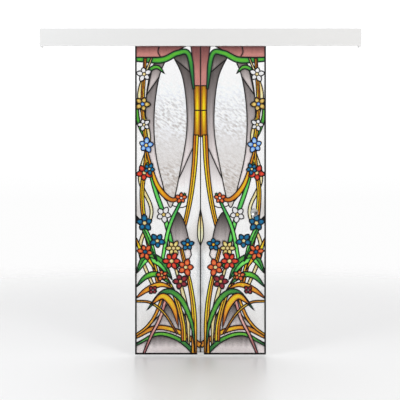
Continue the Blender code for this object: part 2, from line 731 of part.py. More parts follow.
def rail():
    """The wall rail: a back flange, an arm and, along it, the round-topped bead that carries the wheels."""
    bead = circle((WHEEL_DEPTH, BEAD_TOP - BEAD_WIDTH / 2), BEAD_WIDTH / 2, BEAD_SIDES)
    arm_end = WHEEL_DEPTH + WHEEL_WIDTH / 2
    section = [
        (0, RAIL_BOTTOM),
        (arm_end, RAIL_BOTTOM),
        (arm_end, ARM_TOP),
        (WHEEL_DEPTH + BEAD_WIDTH / 2, ARM_TOP),
        *bead[: BEAD_SIDES // 2 + 1],
        (WHEEL_DEPTH - BEAD_WIDTH / 2, ARM_TOP),
        (RAIL_WALL, ARM_TOP),
        (RAIL_WALL, RAIL_TOP - 2 * RAIL_LIP),
        (RAIL_WALL + RAIL_LIP, RAIL_TOP - RAIL_LIP),
        (RAIL_WALL + RAIL_LIP, RAIL_TOP),
        (0, RAIL_TOP),
    ]
    made = flat_piece("rail", [section], RAIL_LENGTH, ACROSS_RAIL, place(0, 0, 0), SATIN_ALUMINIUM)
    for number in range(SCREW_HOLES):
        x = RAIL_LENGTH * ((number + 0.5) / SCREW_HOLES - 0.5)
        height = (AXLE_HEIGHT + WHEEL_RADIUS + RAIL_TOP) / 2
        through = (-DRILL_PAST, RAIL_WALL + DRILL_PAST)
        drill(made, f"screw hole {number}", SCREW_HOLE_RADIUS, x, height, through, SCREW_SIDES)
    return made


def cover():
    """The bent cover: a tall front, a top that rests over the rail and a foot turned back to the glass."""
    section = [
        (FIT, COVER_TOP - COVER_THICK),
        (COVER_BACK, COVER_TOP - COVER_THICK),
        (COVER_BACK, COVER_BOTTOM + COVER_THICK),
        (COVER_FRONT - COVER_FOOT, COVER_BOTTOM + COVER_THICK),
        (COVER_FRONT - COVER_FOOT, COVER_BOTTOM),
        (COVER_FRONT - COVER_ARRIS, COVER_BOTTOM),
        (COVER_FRONT, COVER_BOTTOM + COVER_ARRIS),
        (COVER_FRONT, COVER_TOP - COVER_ARRIS),
        (COVER_FRONT - COVER_ARRIS, COVER_TOP),
        (FIT, COVER_TOP),
    ]
    return flat_piece("rail_cover", [section], COVER_LENGTH, ACROSS_RAIL, place(0, 0, 0), SATIN_ALUMINIUM)


def end_cap(name, side):
    """A plug that closes one end of the cover, flush with its end and its foot."""
    inner = COVER_FRONT - COVER_FOOT - FIT
    section = [
        (FIT, COVER_BOTTOM),
        (inner, COVER_BOTTOM),
        (inner, COVER_BOTTOM + COVER_THICK + FIT),
        (COVER_BACK - FIT, COVER_BOTTOM + COVER_THICK + FIT),
        (COVER_BACK - FIT, COVER_TOP - COVER_THICK - FIT),
        (FIT, COVER_TOP - COVER_THICK - FIT),
    ]
    middle = side * (COVER_LENGTH - END_CAP_THICK) / 2
    return flat_piece(name, [section], END_CAP_THICK, ACROSS_RAIL, place(middle, 0, 0), SATIN_ALUMINIUM)


def end_stop(name, side):
    """A saddle that grips the bead. Its buffer meets the hanger at the end of the travel."""
    reach = BEAD_WIDTH / 2 + FIT
    top = AXLE_HEIGHT + WHEEL_GROOVE_RADIUS / 2
    section = [
        (WHEEL_DEPTH + reach, ARM_TOP + FIT),
        (WHEEL_DEPTH + reach + STOP_WALL, ARM_TOP + FIT),
        (WHEEL_DEPTH + reach + STOP_WALL, top),
        (WHEEL_DEPTH - reach - STOP_WALL, top),
        (WHEEL_DEPTH - reach - STOP_WALL, ARM_TOP + FIT),
        (WHEEL_DEPTH - reach, ARM_TOP + FIT),
        (WHEEL_DEPTH - reach, BEAD_TOP + FIT),
        (WHEEL_DEPTH + reach, BEAD_TOP + FIT),
    ]
    middle = side * (STOP_FACE + BUFFER_LENGTH + STOP_LENGTH / 2)
    return flat_piece(name, [section], STOP_LENGTH, ACROSS_RAIL, place(middle, 0, 0), BARE_STEEL)


def floor_guide():
    """A channel on the floor that keeps the foot of the glass in line, with a pocket in its front wall."""
    back = PANE_BACK - FIT - LEAD_THICK - GUIDE_CLEARANCE
    front = PANE_FRONT + FIT + LEAD_THICK + GUIDE_CLEARANCE
    section = [
        (back - GUIDE_WALL, 0),
        (front + GUIDE_WALL, 0),
        (front + GUIDE_WALL, GUIDE_TOP),
        (front, GUIDE_TOP),
        (front, GUIDE_BASE),
        (back, GUIDE_BASE),
        (back, GUIDE_TOP),
        (back - GUIDE_WALL, GUIDE_TOP),
    ]
    made = flat_piece("floor_guide", [section], GUIDE_WIDTH, ACROSS_RAIL, place(0, 0, 0), PALE_PLASTIC)
    size = (GUIDE_POCKET_WIDTH, 2 * GUIDE_POCKET_DEPTH, 2 * GUIDE_POCKET_HEIGHT)
    cut(made, box("guide pocket", size, place(0, front + GUIDE_WALL, 0), None, CUTTERS))
    return made


rail()
cover()
for side, sign in (("left", -1), ("right", 1)):
    end_cap(f"end_cap_{side}", sign)
    end_stop(f"end_stop_{side}", sign)
    box(
        f"buffer_{side}",
        (BUFFER_LENGTH - 2 * FIT, 2 * BUFFER_HALF, 2 * BUFFER_HALF),
        place(sign * (STOP_FACE + BUFFER_LENGTH / 2), WHEEL_DEPTH, AXLE_HEIGHT),
        BLACK_RUBBER,
    )
floor_guide()
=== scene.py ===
import math

import bpy
import numpy as np
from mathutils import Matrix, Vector
from mathutils.geometry import delaunay_2d_cdt


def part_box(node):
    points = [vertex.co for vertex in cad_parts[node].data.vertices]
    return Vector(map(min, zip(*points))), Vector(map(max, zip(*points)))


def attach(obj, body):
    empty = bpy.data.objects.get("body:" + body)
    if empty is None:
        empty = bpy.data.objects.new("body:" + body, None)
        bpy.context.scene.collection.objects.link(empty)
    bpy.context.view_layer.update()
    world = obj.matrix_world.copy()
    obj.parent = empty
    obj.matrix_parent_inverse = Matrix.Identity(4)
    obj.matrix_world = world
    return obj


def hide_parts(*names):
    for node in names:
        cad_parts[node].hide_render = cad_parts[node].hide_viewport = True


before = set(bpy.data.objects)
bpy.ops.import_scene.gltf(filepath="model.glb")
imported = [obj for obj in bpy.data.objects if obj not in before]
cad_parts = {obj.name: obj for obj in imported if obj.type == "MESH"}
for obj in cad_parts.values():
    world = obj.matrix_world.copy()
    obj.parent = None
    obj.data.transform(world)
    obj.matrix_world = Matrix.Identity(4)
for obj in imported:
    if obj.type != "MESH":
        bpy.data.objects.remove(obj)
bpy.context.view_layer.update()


# Camera and studio
# The camera stands level at waist height, square to the door and a few paces in front of it. The floor
# is plain and pale, and pale air surrounds the door, so that light reaches the glass from both sides.

FLOOR_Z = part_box("floor_guide")[0].z
PANE_LOW, PANE_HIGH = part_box("glass_pane")
CAMERA_DISTANCE = 4.2
CAMERA_HEIGHT = 1.0485
CAMERA_ASIDE = -0.0035
VIEW_WIDTH = 2.687
AIR_LOW, AIR_HIGH = (0.98, 0.98, 0.98), (1.14, 1.14, 1.15)
AIR_LEFT, AIR_RIGHT = (0.12, 0.12, 0.12), (0.82, 0.82, 0.82)
# The air's colours turn into each other over these spans of a direction's Z, X and Y
RISE, SIDEWAYS, FORWARD = (0.0, 0.28), (-0.42, 0.42), (-0.5, 0.5)
LAMPS_AIM = Vector((0, 0, -0.8))

camera = bpy.data.objects.new("camera", bpy.data.cameras.new("camera"))
bpy.context.scene.collection.objects.link(camera)
camera.location = (CAMERA_ASIDE, PANE_LOW.y - CAMERA_DISTANCE, FLOOR_Z + CAMERA_HEIGHT)
camera.rotation_euler = (math.pi / 2, 0, 0)
camera.data.lens = camera.data.sensor_width * CAMERA_DISTANCE / VIEW_WIDTH
bpy.context.scene.camera = camera
bpy.context.scene.view_settings.view_transform = "Standard"

air = bpy.data.worlds.new("air")
air.use_nodes = True
direction = air.node_tree.nodes.new("ShaderNodeTexCoord")
toward = air.node_tree.nodes.new("ShaderNodeSeparateXYZ")
air.node_tree.links.new(direction.outputs["Generated"], toward.inputs["Vector"])


def ranged(tree, value, low, high, start=0.0, end=1.0):
    """A number that goes from start to end as the value goes from low to high."""
    made = tree.nodes.new("ShaderNodeMapRange")
    for socket, amount in (("From Min", low), ("From Max", high), ("To Min", start), ("To Max", end)):
        made.inputs[socket].default_value = amount
    tree.links.new(value, made.inputs["Value"])
    return made.outputs["Result"]


def mixed(tree, share_of_end, start, end):
    """A colour between two, each a plain value or another node's colour."""
    mix = tree.nodes.new("ShaderNodeMix")
    mix.data_type = "RGBA"
    tree.links.new(share_of_end, mix.inputs["Factor"])
    for socket, colour in (("A", start), ("B", end)):
        if isinstance(colour, tuple):
            mix.inputs[socket].default_value = (*colour, 1)
        else:
            tree.links.new(colour, mix.inputs[socket])
    return mix.outputs["Result"]


def blended(tree, value, span, start, end):
    """A colour that goes from start to end as the value crosses the span."""
    return mixed(tree, ranged(tree, value, *span), start, end)


ahead = blended(air.node_tree, toward.outputs["Z"], RISE, AIR_LOW, AIR_HIGH)
behind = blended(air.node_tree, toward.outputs["X"], SIDEWAYS, AIR_LEFT, AIR_RIGHT)
everywhere = blended(air.node_tree, toward.outputs["Y"], FORWARD, behind, ahead)
air.node_tree.links.new(everywhere, air.node_tree.nodes["Background"].inputs["Color"])
bpy.context.scene.world = air

for name, place, size, power, colour in (
    ("key", (2.2, -3.2, 1.0), 1.2, 44, (1.0, 0.98, 0.95)),
    ("fill", (-2.6, -2.2, 1.2), 1.6, 44, (0.96, 0.98, 1.0)),
):
    lamp = bpy.data.lights.new(name, "AREA")
    lamp.shape = "DISK"
    lamp.size = size
    lamp.energy = power
    lamp.color = colour
    held = bpy.data.objects.new(name, lamp)
    held.location = place
    held.rotation_euler = (LAMPS_AIM - held.location).to_track_quat("-Z", "Y").to_euler()
    bpy.context.scene.collection.objects.link(held)


def new_mesh(name, points, faces, smooth_angle=None):
    """An object at the origin, with its place in its mesh."""
    mesh = bpy.data.meshes.new(name)
    mesh.from_pydata(points, [], faces)
    mesh.validate()
    if smooth_angle is not None:
        mesh.shade_smooth()
        mesh.set_sharp_from_angle(angle=math.radians(smooth_angle))
    made = bpy.data.objects.new(name, mesh)
    bpy.context.scene.collection.objects.link(made)
    return made


def finish(name, **sockets):
    """A material whose Principled shader takes plain values, named as its sockets with _ for a space."""
    made = bpy.data.materials.new(name)
    made.use_nodes = True
    shader = made.node_tree.nodes["Principled BSDF"]
    for socket, value in sockets.items():
        shader.inputs[socket.replace("_", " ")].default_value = value
    return made


def noise_on(tree, spread, detail=4.0):
    """Noise on Object coordinates, whose grains measure spread metres along X, Y and Z."""
    where = tree.nodes.new("ShaderNodeTexCoord")
    stretch = tree.nodes.new("ShaderNodeMapping")
    stretch.inputs["Scale"].default_value = [1 / step for step in spread]
    noise = tree.nodes.new("ShaderNodeTexNoise")
    noise.inputs["Scale"].default_value = 1.0
    noise.inputs["Detail"].default_value = detail
    tree.links.new(where.outputs["Object"], stretch.inputs["Vector"])
    tree.links.new(stretch.outputs["Vector"], noise.inputs["Vector"])
    return noise.outputs["Fac"]


def relief(tree, height, metres):
    """Raises the shader's surface by up to so many metres."""
    bump = tree.nodes.new("ShaderNodeBump")
    bump.inputs["Distance"].default_value = metres
    tree.links.new(height, bump.inputs["Height"])
    tree.links.new(bump.outputs["Normal"], tree.nodes["Principled BSDF"].inputs["Normal"])


NOISE_SPAN = (0.3, 0.7)


def grained(made, tones, rough, spread, raised):
    """A grain that moves the colour between two tones and the roughness between two values.

    Its grains measure spread metres along X, Y and Z, and raise the surface by raised metres.
    """
    tree = made.node_tree
    shader = tree.nodes["Principled BSDF"]
    noise = noise_on(tree, spread)
    tree.links.new(mixed(tree, noise, *tones), shader.inputs["Base Color"])
    tree.links.new(ranged(tree, noise, *NOISE_SPAN, *rough), shader.inputs["Roughness"])
    relief(tree, noise, raised)
    return made


def circle(sides):
    """Points of a circle of radius 1, counter-clockwise."""
    angle = np.linspace(0, 2 * math.pi, sides, endpoint=False)
    return np.column_stack([np.cos(angle), np.sin(angle)])


FLOOR_RADIUS, FLOOR_SIDES = 9.0, 96
FLOOR_FADE = (2.2, 7.0)
floor_rim = np.column_stack([FLOOR_RADIUS * circle(FLOOR_SIDES), np.full(FLOOR_SIDES, FLOOR_Z)])
floor = new_mesh("floor", floor_rim, [list(range(FLOOR_SIDES))])
floor_finish = finish("pale_floor", Base_Color=(0.84, 0.84, 0.84, 1), Roughness=0.32)
floor_tree = floor_finish.node_tree
where = floor_tree.nodes.new("ShaderNodeTexCoord")
away = floor_tree.nodes.new("ShaderNodeVectorMath")
away.operation = "LENGTH"
floor_tree.links.new(where.outputs["Object"], away.inputs[0])
fade = ranged(floor_tree, away.outputs["Value"], *FLOOR_FADE)
fade.node.interpolation_type = "SMOOTHSTEP"
thin_air = floor_tree.nodes.new("ShaderNodeBsdfTransparent")
edge = floor_tree.nodes.new("ShaderNodeMixShader")
floor_tree.links.new(fade, edge.inputs["Fac"])
floor_tree.links.new(floor_tree.nodes["Principled BSDF"].outputs["BSDF"], edge.inputs[1])
floor_tree.links.new(thin_air.outputs["BSDF"], edge.inputs[2])
floor_tree.links.new(edge.outputs["Shader"], floor_tree.nodes["Material Output"].inputs["Surface"])
floor.data.materials.append(floor_finish)


# The leaded picture
# A mirrored garden of stems, straps, leaves and blossoms, cut from sheets of coloured glass. A cartoon
# at full size gives each piece's outline, and a later outline covers the earlier ones.

LEAD_LOW, LEAD_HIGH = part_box("lead_front")
CAME_WIDTH = 0.0072
FINE_CAME_WIDTH = 0.0052
BORDER_WIDTH = 0.0095
BORDER_LAP = 0.0031
CURVE_STEPS = 14
# The field is the picture's rectangle, whose edge the border laps over
FIELD_EDGE = BORDER_WIDTH - BORDER_LAP
FIELD_HALF = LEAD_HIGH.x - FIELD_EDGE
FIELD_FOOT = LEAD_LOW.z + FIELD_EDGE
FIELD_HEIGHT = LEAD_HIGH.z - LEAD_LOW.z - 2 * FIELD_EDGE

# Pieces in the order they are cut, as (glass, outline, path), and pairs of them with a fine came between
cut = []
side_by_side = set()


def share(points):
    """Points in hundredths of the field's half width and of its height, as metres."""
    return np.array(points, float) * (FIELD_HALF / 100, FIELD_HEIGHT / 100)


def line(*points):
    """A cubic through the points, whose slope at each point is half the step between its neighbours."""
    knots = share(points)
    knots = np.vstack([2 * knots[0] - knots[1], knots, 2 * knots[-1] - knots[-2]])
    part = np.linspace(0, 1, CURVE_STEPS, endpoint=False)[:, None]
    drawn = []
    for before, start, end, after in zip(knots, knots[1:], knots[2:], knots[3:]):
        bend = 2 * before - 5 * start + 4 * end - after
        twist = after - before + 3 * (start - end)
        drawn.append(start + 0.5 * ((end - before) * part + bend * part**2 + twist * part**3))
    return np.vstack([*drawn, knots[-2:-1]])


def runs(path):
    """How far along the path each point lies, from 0 to 1."""
    run = np.concatenate([[0], np.cumsum(np.hypot(*np.diff(path, axis=0).T))])
    return run / run[-1]


def across(path):
    """Unit vectors square to the path."""
    forward = np.gradient(path, axis=0)
    forward /= np.hypot(forward[:, 0], forward[:, 1])[:, None]
    return np.column_stack([-forward[:, 1], forward[:, 0]])


def along(path, part):
    """The point at a share of a path's length."""
    return np.array([np.interp(part, runs(path), axis) for axis in path.T])


def glaze(glass, outline, path=None, sides=(1, -1)):
    """Cuts a piece on each side of the door. The path is the line that its colour follows."""
    for side in sides:
        turned_over = outline * (side, 1)
        if side < 0:
            turned_over = turned_over[::-1]
        cut.append((glass, turned_over, None if path is None else path * (side, 1)))


def pair_up():
    """Notes the last two pieces of each side as strands of one stem or leaf, with a fine came between."""
    side_by_side.update({(len(cut) - 4, len(cut) - 2), (len(cut) - 3, len(cut) - 1)})


def stem(glasses, path, widths):
    """Strands side by side: together they keep half the width to each side of the path."""
    reach = across(path) * np.interp(runs(path), np.linspace(0, 1, len(widths)), widths)[:, None] / 2
    edges = np.linspace(-1, 1, len(glasses) + 1)
    for glass, near, far in zip(glasses, edges, edges[1:]):
        strand = np.vstack([path + reach * near, (path + reach * far)[::-1]])
        glaze(glass, strand, path + reach * (near + far) / 2)
        if near > -1:
            pair_up()


def leaf(glasses, path, width, fullest):
    """A blade: its half width is the sine of the share of its length, bent so that it is fullest there."""
    part = runs(path) ** (math.log(0.5) / math.log(fullest))
    reach = across(path) * (np.sin(math.pi * part) ** 0.8 * width / 2)[:, None]
    glaze(glasses[0], np.vstack([path - reach, (path + reach)[1:-1][::-1]]), path)
    if len(glasses) > 1:
        glaze(glasses[1], np.vstack([path, (path + reach)[1:-1][::-1]]), path + reach / 2)
        pair_up()


PETAL_POINTS = 15
PETAL_WAIST = 0.50
VEIN = (0.15, 0.95)
HEART_SIZE = 0.27
PETAL_LENGTHS = (1.0, 0.88, 1.04, 0.93, 1.0, 0.86)


def blossom(glasses, centre, radius, petals, turn):
    """Petals round a heart, the first at turn degrees.

    From waist to tip each petal's edge follows (1 - |2a|^1.2)^0.8, with a the share of its turn.
    """
    step = 2 * math.pi / petals
    part = np.linspace(-0.5, 0.5, PETAL_POINTS)
    swell = (1 - np.abs(2 * part) ** 1.2) ** 0.8
    for petal in range(petals):
        middle = math.radians(turn) + petal * step
        angle = middle + part * step
        tip = PETAL_LENGTHS[(petal + int(turn)) % len(PETAL_LENGTHS)]
        edge = radius * (PETAL_WAIST + (tip - PETAL_WAIST) * swell)
        outline = centre + edge[:, None] * np.column_stack([np.cos(angle), np.sin(angle)])
        vein = centre + radius * np.outer(VEIN, (math.cos(middle), math.sin(middle)))
        glaze(glasses[0], np.vstack([[centre], outline]), vein)
    angle = math.radians(turn) + (np.arange(petals) + 0.5) * step
    heart = centre + radius * HEART_SIZE * np.column_stack([np.cos(angle), np.sin(angle)])
    glaze(glasses[1], heart, np.vstack([centre, centre + (radius * HEART_SIZE, 0)]))


# Ground, then the shaded field round each tall light, and the light itself
glaze("clear", share([(0, 0), (100, 0), (100, 100), (0, 100)]))
field = [(8, 97), (40, 98.2), (70, 95), (84, 84), (84, 68), (74, 57), (50, 49), (22, 48), (12, 56), (9, 75)]
glaze("smoke", line(*field, field[0]))
glaze("slate", np.vstack([line(*field[:4]), line((84, 84), (64, 90), (47, 96), (8, 90))]))
glaze("mist", np.vstack([line(*field[8:4:-1]), line((74, 57), (46, 53), (9, 68))]))
light = [(47, 98.4), (64, 90), (72, 78), (70, 66), (60, 56), (46, 47.5), (31, 60), (21, 74), (27, 89)]
glaze("water", line(*light, light[0]))
# Head panel
head_edge = line((22, 100), (44, 97.6), (72, 95.6), (100, 96.2))
glaze("mauve", np.vstack([head_edge, share([(100, 100)])]))
glaze("mauve", np.vstack([line((62, 96.3), (66, 98), (64, 100)), share([(100, 100), (100, 96.2)])]))
# Column, in three heights
glaze("mauve", share([(0, 100), (15, 100), (12, 95), (10.5, 87), (0, 87)]))
glaze("column", share([(0, 87), (10.5, 87), (9.5, 79), (0, 79)]), share([(5.0, 79), (5.4, 87)]))
glaze("column", share([(0, 79), (9.5, 79), (10.5, 70.5), (0, 70.5)]), share([(5.0, 79), (5.4, 70.5)]))
stem(("honey", "amber"), line((7, 71), (10, 60), (18, 48), (34, 34)), [0.034, 0.032, 0.028, 0.022])
# Shaded fields of the foot, and the arcs across it
arc_top, arc_foot = line((20, 4), (24, 12), (44, 17), (62, 13)), line((62, 13), (80, 8), (60, 5), (20, 4))
glaze("smoke", np.vstack([arc_top, arc_foot]))
glaze("smoke", np.vstack([line((14, 0), (34, 5), (68, 6.4), (100, 3.4)), share([(100, 0)])]))
glaze("smoke", line((14, 32), (24, 42), (38, 46), (52, 40), (48, 33), (30, 27), (14, 32)))
stem(("amber",), line((0, 2.6), (34, 7), (68, 8.4), (100, 5.5)), [0.034, 0.030, 0.030, 0.026])
stem(("green",), line((8, 0), (34, 4.6), (66, 6.3), (100, 2.8)), [0.028, 0.028, 0.024, 0.012])
glaze("cream", line((0, 47), (4, 42), (4.4, 38), (0, 35)))
# Head band
head_band = line((100, 95.6), (60, 95.4), (36, 97.6), (18, 97), (10.5, 86))
stem(("green",), head_band, [0.028, 0.040, 0.036, 0.030, 0.012])
# Garland: a pale stem behind, an amber one in front
pale_stem = line((70, 20), (94, 34), (76, 46), (94, 57), (80, 70), (95, 84), (76, 96))
stem(("cream",), pale_stem, [0.018, 0.024, 0.020, 0.024, 0.020, 0.024, 0.010])
garland = line((64, 22), (84, 39), (91, 52), (84, 65), (90, 80), (86, 96))
stem(("amber", "honey"), garland, [0.030, 0.028, 0.026, 0.024, 0.018])
# Crossing straps, and the tendril under each light
strap = line((82, 62), (72, 54), (54, 43), (36, 28))
stem(("leaf",), strap, [0.014, 0.028, 0.028, 0.020])
stem(("leaf",), line((24, 52), (34, 48), (50, 40), (62, 27)), [0.012, 0.024, 0.024, 0.018])
stem(("amber",), line((84, 66), (68, 55), (46, 50), (27, 51.5)), [0.012, 0.022, 0.034, 0.022])
# Stems that rise from the foot
stem(("amber", "honey"), line((10, 0), (10, 12), (16, 22), (30, 34)), [0.036, 0.032, 0.028, 0.020])
stem(("cream",), line((18, 3), (20, 12), (28, 20), (42, 30)), [0.010, 0.028, 0.024, 0.014])
stem(("amber", "honey"), line((26, 4), (28, 10), (40, 19), (68, 30)), [0.032, 0.030, 0.024, 0.014])
stem(("pink",), line((50, 21), (62, 12), (76, 6), (88, 0)), [0.020, 0.022, 0.020, 0.014])
stem(("amber",), line((56, 20), (70, 12.5), (84, 8.5), (100, 6)), [0.012, 0.020, 0.018, 0.014])
stem(("amber",), line((36, 6.4), (56, 13), (78, 16.5), (100, 17)), [0.010, 0.012, 0.014, 0.012])
# Leaves
for glasses, path, width, fullest in (
    (("green",), line((8, 0), (14, 10), (32, 18), (56, 20), (84, 14)), 0.036, 0.6),
    (("leaf", "green"), line((44, 24), (62, 29.5), (84, 31), (100, 26)), 0.060, 0.5),
    (("green",), line((46, 22.5), (66, 25.6), (84, 25), (100, 21.6)), 0.036, 0.5),
    (("amber",), line((42, 21), (62, 22.4), (84, 20.6), (101, 17.8)), 0.036, 0.5),
    (("amber",), line((34, 8), (42, 15), (58, 18.6), (76, 16)), 0.044, 0.6),
    (("green", "leaf"), line((68, 30), (82, 38), (92, 42), (101, 45)), 0.036, 0.5),
    (("honey",), line((70, 27), (82, 31), (92, 33), (101, 38)), 0.026, 0.5),
    (("green",), line((88, 70), (93, 73), (98, 77), (98, 82)), 0.024, 0.5),
    (("green",), line((86, 90), (76, 92.6), (66, 93), (56, 91)), 0.026, 0.5),
):
    leaf(glasses, path, width, fullest)
# Blossoms along the garland and the strap, then the bunch over the foot
FIRST_PETAL = len(cut)
for glasses, centre, radius, petals, turn in (
    (("white", "cream"), along(garland, 0.93), 0.052, 5, 10),
    (("gold", "sky"), along(garland, 0.80), 0.054, 5, 40),
    (("white", "cream"), along(garland, 0.71), 0.044, 5, 0),
    (("sky", "cream"), along(garland, 0.62), 0.054, 5, 25),
    (("red", "cream"), along(garland, 0.50), 0.056, 5, 60),
    (("blue", "cream"), along(garland, 0.28), 0.060, 5, 15),
    (("white", "khaki"), along(strap, 0.50), 0.056, 5, 45),
    (("blue", "cream"), along(strap, 0.06), 0.042, 5, 45),
    (("orange", "white"), share((30, 50.5)), 0.040, 5, 20),
    (("blue", "cream"), share((67, 36.6)), 0.054, 5, 50),
    (("orange", "blue"), share((86, 33)), 0.056, 6, 10),
    (("blue", "honey"), share((20, 35.4)), 0.046, 5, 20),
    (("khaki", "cream"), share((42, 34.2)), 0.054, 6, 0),
    (("orange", "cream"), share((23, 28)), 0.060, 5, 35),
    (("red", "cream"), share((45, 30)), 0.062, 6, 0),
    (("orange", "khaki"), share((60, 25.4)), 0.040, 5, 10),
    (("maroon", "khaki"), share((31, 23.4)), 0.054, 5, 0),
    (("maroon", "mist"), share((74, 20.6)), 0.032, 4, 45),
):
    blossom(glasses, centre, radius, petals, turn)
# Round hole for the pull, on the right side only
PULL_LOW, PULL_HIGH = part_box("pull_front")
PULL_CENTRE = np.array([(PULL_LOW.x + PULL_HIGH.x) / 2, (PULL_LOW.z + PULL_HIGH.z) / 2])
PULL_RADIUS = (PULL_HIGH.x - PULL_LOW.x) / 2
HOLE_RADIUS, HOLE_SIDES = 0.0221, 40
HOLE = len(cut)
HOLE_SPOT = PULL_CENTRE - (0, FIELD_FOOT)
glaze("clear", HOLE_SPOT + HOLE_RADIUS * circle(HOLE_SIDES), sides=(1,))


# Cut glass
# Each piece of the picture is a separate slip of glass as thick as the sheet, held by lead round its edge.
# The tall lights are rippled, the grounds have a faint wave, and each colour runs from dark to light.
# Painted shade darkens each slip beside the lead, and painted light and shade follow the ripples of the
# lights.

# Each slip stops this far from the middle of the lead
HEART_OF_LEAD = 0.0008
# Darkest and brightest display colour of each glass
TONES = {
    "clear": ((198, 191, 186), (252, 254, 255)),
    "water": ((206, 198, 192), (240, 245, 252)),
    "mist": ((150, 142, 142), (244, 240, 240)),
    "smoke": ((44, 38, 36), (230, 221, 221)),
    "slate": ((40, 35, 32), (196, 186, 184)),
    "mauve": ((104, 56, 56), (196, 132, 124)),
    "green": ((0, 84, 60), (112, 204, 44)),
    "leaf": ((12, 120, 58), (140, 250, 110)),
    "amber": ((176, 70, 0), (255, 206, 20)),
    "honey": ((222, 120, 0), (255, 246, 40)),
    "column": ((136, 58, 0), (255, 230, 0)),
    "cream": ((210, 172, 92), (255, 252, 208)),
    "white": ((214, 212, 216), (255, 255, 255)),
    "gold": ((110, 76, 18), (252, 220, 124)),
    "sky": ((36, 104, 224), (190, 226, 255)),
    "blue": ((0, 44, 76), (0, 134, 184)),
    "red": ((134, 8, 8), (255, 88, 50)),
    "orange": ((170, 30, 10), (255, 140, 70)),
    "maroon": ((66, 2, 16), (180, 42, 58)),
    "khaki": ((172, 132, 50), (255, 242, 164)),
    "pink": ((142, 70, 76), (255, 190, 178)),
}
RIPPLED, GROUND, COLOURED = "glass_lights", "glass_grounds", "glass_colours"
SHEETS = {"water": RIPPLED, "clear": GROUND, "mist": GROUND, "smoke": GROUND, "slate": GROUND}
# Distance between the points of each kind of glass, and how near two of them count as one
POINT_STEP = {RIPPLED: 0.0034, GROUND: 0.0080, COLOURED: 0.0052}
SAME_POINT, SAME_GRID_POINT = 1e-6, 1e-7
# The smallest slip worth cutting in square metres, and a limit on the mitre of a sharp corner
SMALLEST_SLIP = 4e-6
MITRE_LIMIT = 0.3
# Ripples: bands as (height, width), the cosine and sine of the dashes' lean, and the sizes of dashes, of
# their drift and of the faint broad wave
WAVE_HEIGHT = 0.0011
RIPPLE_BANDS = ((1.58, 0.13), (1.16, 0.11))
DASH_LEAN = (0.82, 0.57)
DASH, DRIFT, BROAD_WAVE = (0.016, 0.0070), (0.07, 0.05), (0.045, 0.070)
CALM, FAINT = 0.10, 0.16
HASH_STEP, HASH_SCALE = (12.9898, 78.233), 43758.5453
# Painted shade along the edge of each slip beside the lead, the grey strip up the middle, and the sizes of
# clouds and wisps
PAINTED_SHADE_START, PAINTED_SHADE_WIDTH, PAINTED_SHADE_SHARE = 0.0028, 0.0080, 0.6
STRIP_HALF, STRIP_TOP, STRIP_END = 0.030, 0.95, 0.15
CLOUD, STRIP_WISP, FIELD_WISP = (0.16, 0.19), (0.012, 0.060), (0.012, 0.16)
COLUMN_WIDTH, COLUMN_FALL = 0.044, 0.60
# How much each of these moves a tone: the painted light and shade of the dashes, their painted shade,
# clouds, wisps, a slip's length and its middle
DASH_PAINTED_LIGHT_SHADE, DASH_PAINTED_SHADE = 0.9, 0.22
CLOUD_TONE, WISP_TONE = 1.5, 0.15
LENGTH_TONE, MIDDLE_TONE = 0.55, 0.30
# A slip counts as upright from this share of a rise, and all glass is brightened by the gain
UPRIGHT = 0.3
GLASS_GAIN = 1.18


def linear(colour):
    """Display colour from 0 to 255 as light, by the usual curve ((c + 0.055) / 1.055) ** 2.4."""
    return ((np.array(colour, float) / 255 + 0.055) / 1.055) ** 2.4


def signed_area(loop):
    """Area inside a loop, above 0 where the loop runs counter-clockwise."""
    after = np.roll(loop, -1, axis=0)
    return float((loop[:, 0] * after[:, 1] - loop[:, 1] * after[:, 0]).sum() / 2)


def outlines_of(triangles, label):
    """Closed outlines of each group of joined triangles that share a label.

    The group lies on the left of its outline.
    """
    side = {}
    for number, (a, b, c) in enumerate(triangles):
        side[a, b], side[b, c], side[c, a] = (number, c), (number, a), (number, b)

    def joined(start, end):
        """Whether the triangle beyond a side has the same label."""
        beyond = side.get((end, start))
        return beyond is not None and label[beyond[0]] == label[side[start, end][0]]

    found, seen = [], set()
    for first in side:
        edge, loop = first, []
        while edge not in seen and not joined(*edge):
            seen.add(edge)
            loop.append(edge[0])
            edge = (edge[1], side[edge][1])
            while joined(*edge):
                edge = (edge[0], side[edge[1], edge[0]][1])
        if loop:
            found.append((label[side[first][0]], loop))
    return found


def turns_round(loop, spots):
    """How often the loop runs round each spot, counter-clockwise."""
    turns = np.zeros(len(spots), int)
    for (x0, y0), (x1, y1) in zip(loop, np.roll(loop, -1, axis=0)):
        left_of = (x1 - x0) * (spots[:, 1] - y0) - (y1 - y0) * (spots[:, 0] - x0)
        turns += (y0 <= spots[:, 1]) & (y1 > spots[:, 1]) & (left_of > 0)
        turns -= (y1 <= spots[:, 1]) & (y0 > spots[:, 1]) & (left_of < 0)
    return turns


def inset(loop, margin):
    """Moves each side of a loop inwards and keeps the stretches that still run round something."""
    step = np.roll(loop, -1, axis=0) - loop
    step /= np.hypot(step[:, 0], step[:, 1])[:, None]
    inward = np.column_stack([-step[:, 1], step[:, 0]])
    before = np.roll(inward, 1, axis=0)
    lean = (before * inward).sum(axis=1)[:, None]
    moved = loop + (before + inward) * margin / np.maximum(1 + lean, MITRE_LIMIT)
    ends = [(i, (i + 1) % len(moved)) for i in range(len(moved))]
    points, _, triangles, *_ = delaunay_2d_cdt([Vector(p) for p in moved], ends, [], 0, SAME_POINT)
    points = np.array([tuple(p) for p in points])
    kept = turns_round(moved, points[np.array(triangles)].mean(axis=1)) > 0
    return [points[found] for inside, found in outlines_of(triangles, kept.tolist()) if inside]


